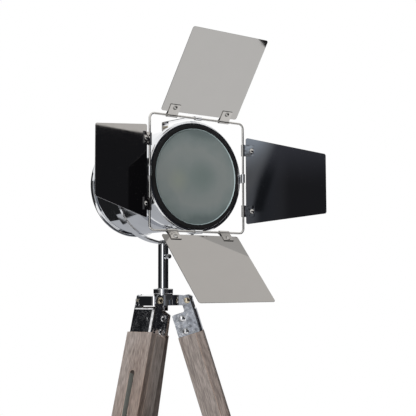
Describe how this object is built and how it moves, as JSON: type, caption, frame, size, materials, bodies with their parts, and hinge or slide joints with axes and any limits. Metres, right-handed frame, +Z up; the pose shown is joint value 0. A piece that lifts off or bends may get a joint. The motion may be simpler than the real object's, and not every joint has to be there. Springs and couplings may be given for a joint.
{
  "type": "tripod floor lamp",
  "caption": "Tripod floor lamp with a round spotlight head, frosted lens and hinged barn doors, tilting in a yoke on telescopic wooden legs.",
  "frame": {"origin": "on the floor, under the centre of the whole object's box at rest", "axes": "+Z up; the head shines along -Y; +X is to the right seen from in front of the lens looking along +Y"},
  "size_m": [0.6236, 0.5812, 1.4331],
  "materials": {
    "chrome": "bright nickel-chrome plate on steel, mirror polished",
    "wood": "solid wood, grey-brown stain, open grain, matt",
    "rubber": "black rubber, satin",
    "frosted_glass": "etched glass, grey-green when unlit",
    "bulb_glass": "opal glass",
    "black_plastic": "moulded black plastic"
  },
  "bodies": {
    "stand": {"hub_casting": "chrome", "stem_collar": "chrome", "stem_tube": "chrome", "hub_bottom_bolt": "chrome"},
    "leg_a": {"leg_bracket_a": "chrome", "leg_pivot_bolt_a": "chrome", "leg_face_board_a": "wood", "leg_channel_a": "wood"},
    "lower_leg_a": {"lower_leg_a": "wood", "leg_lock_bolt_a": "chrome", "foot_a": "rubber"},
    "lock_knob_a": {"leg_lock_knob_a": "black_plastic"},
    "leg_b": {"leg_bracket_b": "chrome", "leg_pivot_bolt_b": "chrome", "leg_face_board_b": "wood", "leg_channel_b": "wood"},
    "lower_leg_b": {"lower_leg_b": "wood", "leg_lock_bolt_b": "chrome", "foot_b": "rubber"},
    "lock_knob_b": {"leg_lock_knob_b": "black_plastic"},
    "leg_c": {"leg_bracket_c": "chrome", "leg_pivot_bolt_c": "chrome", "leg_face_board_c": "wood", "leg_channel_c": "wood"},
    "lower_leg_c": {"lower_leg_c": "wood", "leg_lock_bolt_c": "chrome", "foot_c": "rubber"},
    "lock_knob_c": {"leg_lock_knob_c": "black_plastic"},
    "yoke": {"yoke": "chrome", "yoke_spigot": "chrome"},
    "pan_lock_screw": {"pan_lock_screw": "chrome"},
    "head": {"drum": "chrome", "rear_cover": "chrome", "bezel": "chrome", "lens_gasket": "rubber", "lens": "frosted_glass", "lamp_holder": "black_plastic", "bulb": "bulb_glass", "holder_bracket": "chrome", "cord_gland": "black_plastic", "barn_door_frame": "chrome", "frame_strap_top": "chrome", "frame_strap_right": "chrome", "frame_strap_bottom": "chrome", "frame_strap_left": "chrome", "top_strap_screw": "chrome"},
    "tilt_knob_left": {"tilt_knob_left": "black_plastic"},
    "tilt_knob_right": {"tilt_knob_right": "black_plastic"},
    "door_top": {"barn_door_top": "chrome", "hinge_clip_top_1": "chrome", "hinge_clip_top_2": "chrome"},
    "door_right": {"barn_door_right": "chrome", "hinge_clip_right_1": "chrome", "hinge_clip_right_2": "chrome"},
    "door_bottom": {"barn_door_bottom": "chrome", "hinge_clip_bottom_1": "chrome", "hinge_clip_bottom_2": "chrome"},
    "door_left": {"barn_door_left": "chrome", "hinge_clip_left_1": "chrome", "hinge_clip_left_2": "chrome"}
  },
  "joints": [
    {"name": "leg_fold_a", "type": "hinge", "parent": "stand", "child": "leg_a", "pos_m": [-0.02077, -0.07822, 0.9825], "axis": [0.3827, -0.9239, 0], "range_deg": [0, 8]},
    {"name": "leg_extend_a", "type": "slide", "parent": "leg_a", "child": "lower_leg_a", "axis": [-0.2763, -0.1144, -0.9542], "range_m": [-0.34, 0]},
    {"name": "lock_knob_turn_a", "type": "hinge", "parent": "lower_leg_a", "child": "lock_knob_a", "pos_m": [-0.17102, -0.14045, 0.53045], "axis": [-0.8816, -0.3652, 0.299], "continuous": true},
    {"name": "leg_fold_b", "type": "hinge", "parent": "stand", "child": "leg_b", "pos_m": [0.0565, -0.08839, 0.9825], "axis": [0.6088, 0.7934, 0], "range_deg": [0, 8]},
    {"name": "leg_extend_b", "type": "slide", "parent": "leg_b", "child": "lower_leg_b", "axis": [0.2372, -0.182, -0.9542], "range_m": [-0.34, 0]},
    {"name": "lock_knob_turn_b", "type": "hinge", "parent": "lower_leg_b", "child": "lock_knob_b", "pos_m": [0.18552, -0.18739, 0.53045], "axis": [0.757, -0.5809, 0.299], "continuous": true},
    {"name": "leg_fold_c", "type": "hinge", "parent": "stand", "child": "leg_c", "pos_m": [0.02667, -0.01639, 0.9825], "axis": [-0.9914, 0.1305, 0], "range_deg": [0, 8]},
    {"name": "leg_extend_c", "type": "slide", "parent": "leg_c", "child": "lower_leg_c", "axis": [0.039, 0.2965, -0.9542], "range_m": [-0.34, 0]},
    {"name": "lock_knob_turn_c", "type": "hinge", "parent": "lower_leg_c", "child": "lock_knob_c", "pos_m": [0.0479, 0.14485, 0.53045], "axis": [0.1246, 0.9461, 0.299], "continuous": true},
    {"name": "head_pan", "type": "hinge", "parent": "stand", "child": "yoke", "pos_m": [0.0208, -0.061, 1.088], "axis": [0, 0, 1], "range_deg": [-175, 175]},
    {"name": "pan_lock_turn", "type": "hinge", "parent": "stand", "child": "pan_lock_screw", "pos_m": [0.0208, -0.079, 1.0624], "axis": [0, -1, 0], "continuous": true},
    {"name": "head_tilt", "type": "hinge", "parent": "yoke", "child": "head", "pos_m": [0.0208, -0.061, 1.2], "axis": [1, 0, 0], "range_deg": [-25, 25]},
    {"name": "tilt_knob_turn_left", "type": "hinge", "parent": "head", "child": "tilt_knob_left", "pos_m": [-0.0992, -0.061, 1.2], "axis": [-1, 0, 0], "continuous": true},
    {"name": "tilt_knob_turn_right", "type": "hinge", "parent": "head", "child": "tilt_knob_right", "pos_m": [0.1408, -0.061, 1.2], "axis": [1, 0, 0], "continuous": true},
    {"name": "door_top_swing", "type": "hinge", "parent": "head", "child": "door_top", "pos_m": [0.0208, -0.1733, 1.3028], "axis": [1, 0, 0], "range_deg": [-47.8, 52.2]},
    {"name": "door_right_swing", "type": "hinge", "parent": "head", "child": "door_right", "pos_m": [0.1208, -0.1733, 1.2028], "axis": [0, 0, -1], "range_deg": [-28.5, 71.5]},
    {"name": "door_bottom_swing", "type": "hinge", "parent": "head", "child": "door_bottom", "pos_m": [0.0208, -0.1733, 1.1028], "axis": [-1, 0, 0], "range_deg": [-53.2, 46.8]},
    {"name": "door_left_swing", "type": "hinge", "parent": "head", "child": "door_left", "pos_m": [-0.0792, -0.1733, 1.2028], "axis": [0, 0, 1], "range_deg": [-38.4, 61.6]}
  ]
}
